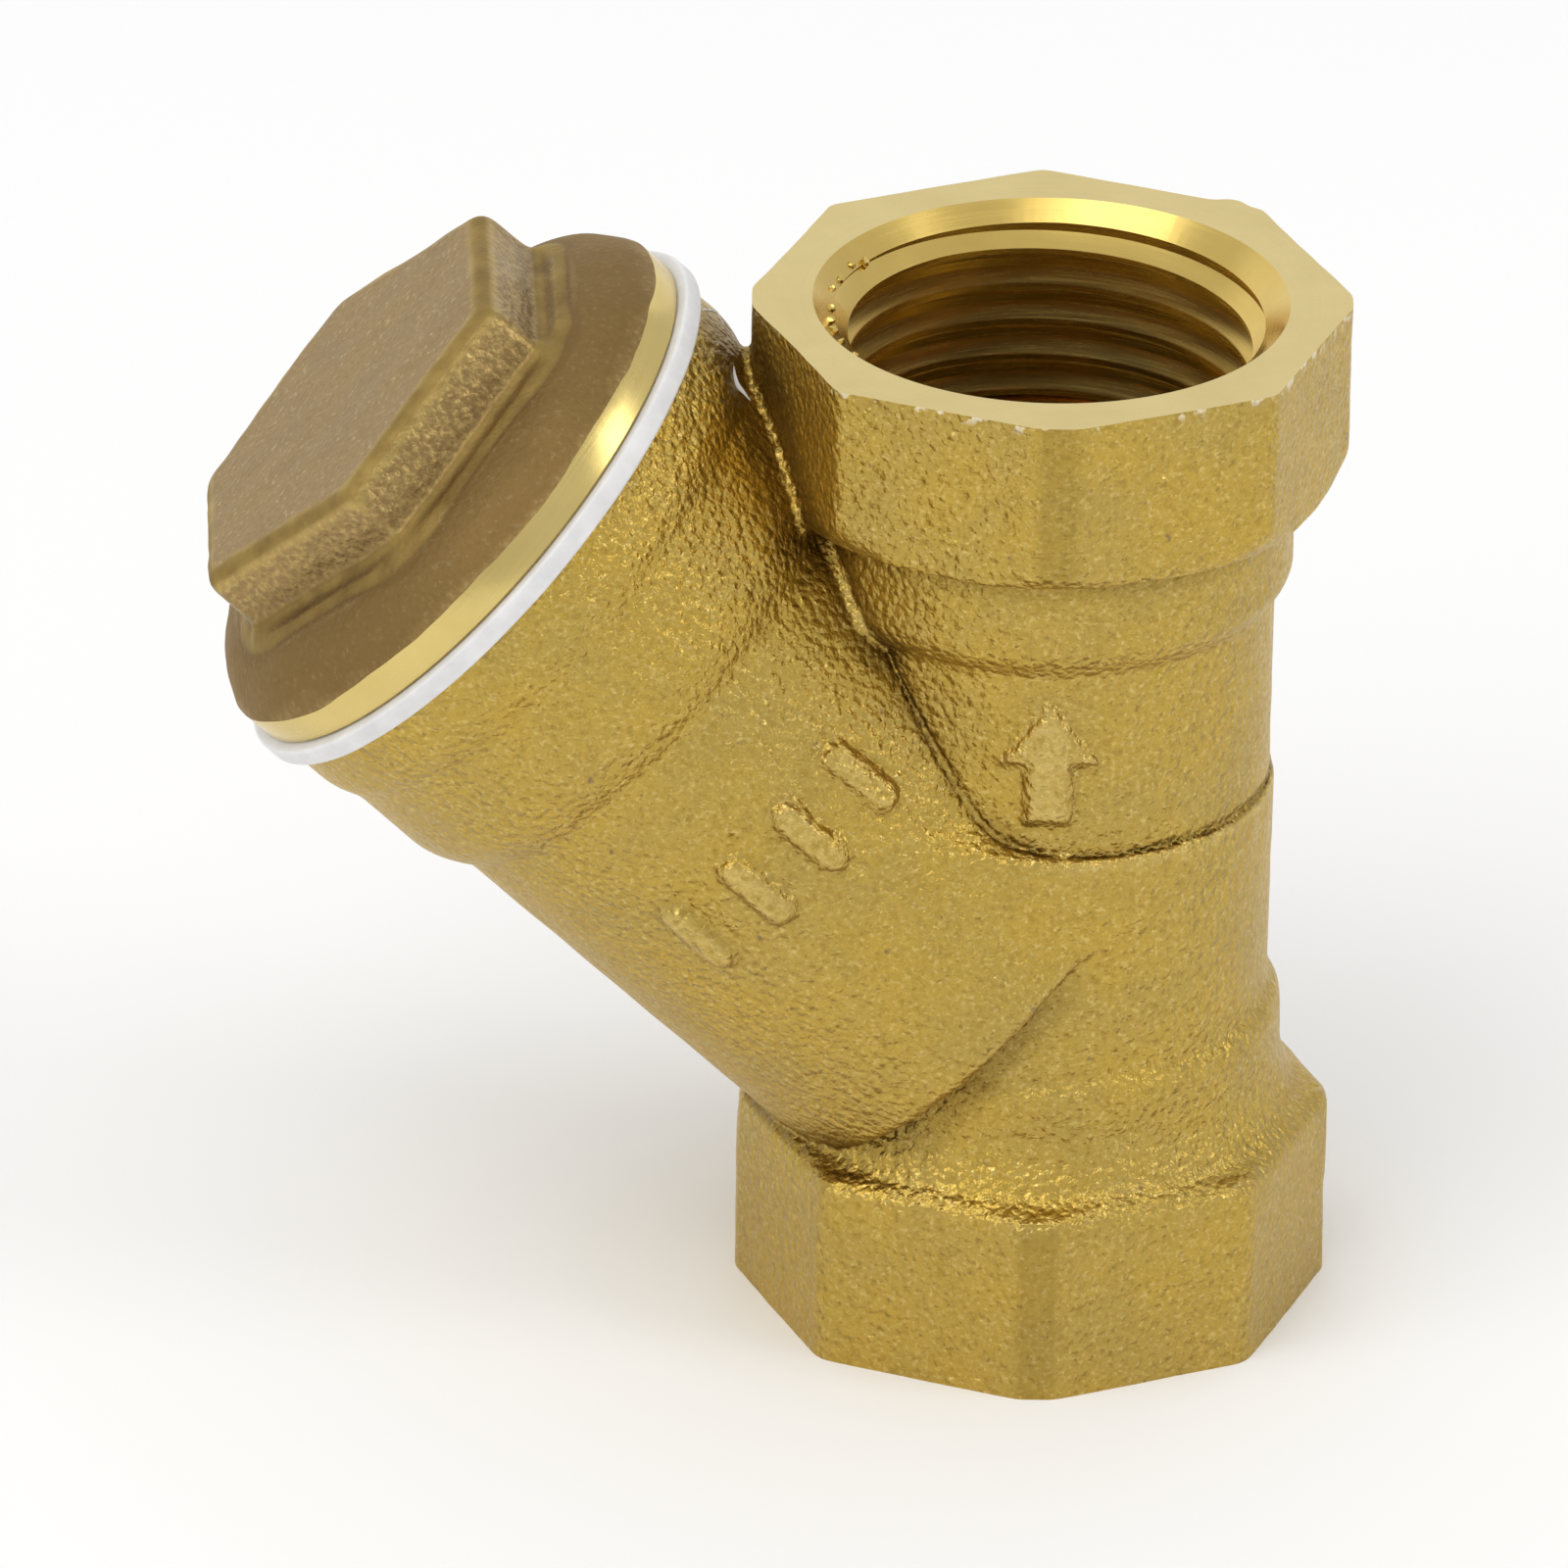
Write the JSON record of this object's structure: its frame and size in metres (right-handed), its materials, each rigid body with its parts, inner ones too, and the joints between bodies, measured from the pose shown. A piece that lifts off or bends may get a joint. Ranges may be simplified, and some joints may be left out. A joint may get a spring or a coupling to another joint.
{
  "type": "y strainer",
  "caption": "Forged brass Y strainer with a threaded port at each end of a straight run, a slanted branch holding a wire screen, and a screwed hexagon cap on a white gasket.",
  "frame": {"origin": "centre of the inlet end face, on the run axis", "axes": "+Z along the run from the inlet to the outlet, the way the water flows; the branch leans towards -X in the XZ plane; the side with the raised bars faces -Y"},
  "size_m": [0.0528, 0.0294, 0.0517],
  "materials": {
    "forged_brass": "sand-blasted",
    "cap_brass": "as forged, matte",
    "gasket_plastic": "waxy",
    "screen_wire": "drawn wire",
    "ring_steel": "pressed sheet"
  },
  "bodies": {
    "housing": {"body": "forged_brass"},
    "strainer": {"screen_sleeve": "screen_wire", "screen_lower_ring": "ring_steel", "screen_upper_ring": "ring_steel"},
    "seal": {"gasket": "gasket_plastic"},
    "plug": {"cap": "cap_brass"}
  },
  "joints": [
    {"name": "screen_draw", "type": "slide", "parent": "housing", "child": "strainer", "axis": [-0.7373, 0, 0.6756], "range_m": [0, 0.045]},
    {"name": "cap_travel", "type": "slide", "parent": "strainer", "child": "seal", "axis": [-0.7373, 0, 0.6756], "range_m": [0, 0.0083]},
    {"name": "cap_turn", "type": "hinge", "parent": "seal", "child": "plug", "pos_m": [0, 0, 0.015], "axis": [-0.7373, 0, 0.6756], "range_deg": [0, 1980]}
  ],
  "couplings": [
    {"joint": "cap_travel", "follows": "cap_turn", "m_per_rad": 0.00023873}
  ]
}
